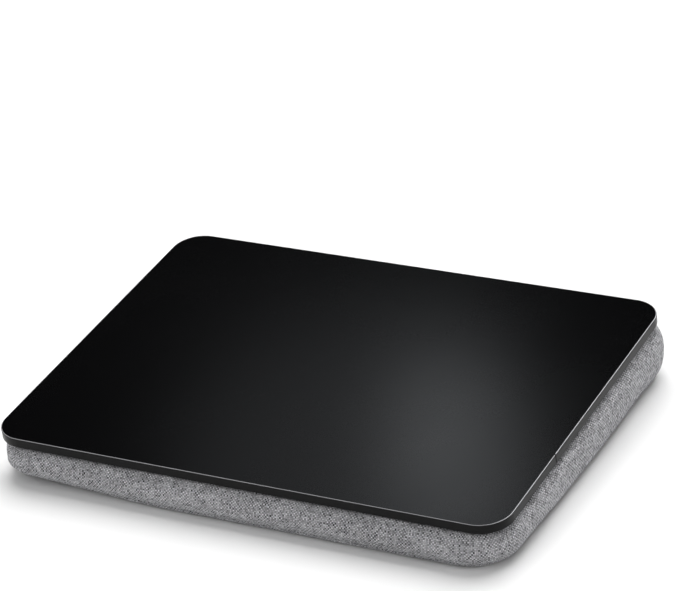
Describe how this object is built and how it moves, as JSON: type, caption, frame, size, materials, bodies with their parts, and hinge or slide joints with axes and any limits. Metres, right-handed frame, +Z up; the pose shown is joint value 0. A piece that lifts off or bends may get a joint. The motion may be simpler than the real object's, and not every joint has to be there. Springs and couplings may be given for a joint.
{
  "type": "lap tray with cushion",
  "caption": "Flat rounded tray board with a banded edge on a wedge-shaped fabric cushion that rests on the lap, with a zip in the cushion's back wall.",
  "frame": {"origin": "centre of the cushion's underside, on the surface that it rests on", "axes": "+X to the user's right along the board's long side, +Y away from the user, +Z up"},
  "size_m": [0.434, 0.3315, 0.0559],
  "materials": {
    "core": "raw fibreboard",
    "top_facing": "black satin film with a fine grain",
    "under_facing": "plain black film",
    "edge_strip": "satin edging with a lengthwise grain",
    "hook_tape": "black hook tape",
    "loop_tape": "black loop tape",
    "lining": "dark non-woven lining",
    "cover_fabric": "grey melange linen-look weave",
    "foam": "open-cell foam",
    "wadding": "white fibre wadding",
    "zip_tape": "dark grey herringbone tape",
    "zip_teeth": "dark grey moulded plastic",
    "zip_metal": "dark grey painted die-cast"
  },
  "bodies": {
    "tray": {"board_core": "core", "top_laminate": "top_facing", "underside_laminate": "under_facing", "edge_band": "edge_strip", "hook_strips": "hook_tape", "loop_strips": "loop_tape", "cover_top_panel": "lining", "cover_side_band": "cover_fabric", "cover_back_upper": "cover_fabric", "cover_back_lower": "cover_fabric", "cover_bottom_panel": "cover_fabric", "foam_wedge": "foam", "upper_wadding": "wadding", "lower_wadding": "wadding", "zip_tape_upper": "zip_tape", "zip_tape_lower": "zip_tape", "zip_teeth_upper": "zip_teeth", "zip_teeth_lower": "zip_teeth", "zip_top_stops": "zip_teeth", "zip_bottom_stop": "zip_teeth"},
    "slider": {"zip_slider": "zip_metal"},
    "pull": {"zip_pull": "zip_metal"}
  },
  "joints": [
    {"name": "zip_slide", "type": "slide", "parent": "tray", "child": "slider", "axis": [-1, 0, 0], "range_m": [0, 0.2845], "deforming": ["zip_teeth_upper", "zip_teeth_lower"]},
    {"name": "pull_swing", "type": "hinge", "parent": "slider", "child": "pull", "pos_m": [0.144, 0.16632, 0.02423], "axis": [0, 0, -1], "range_deg": [0, 170]}
  ]
}
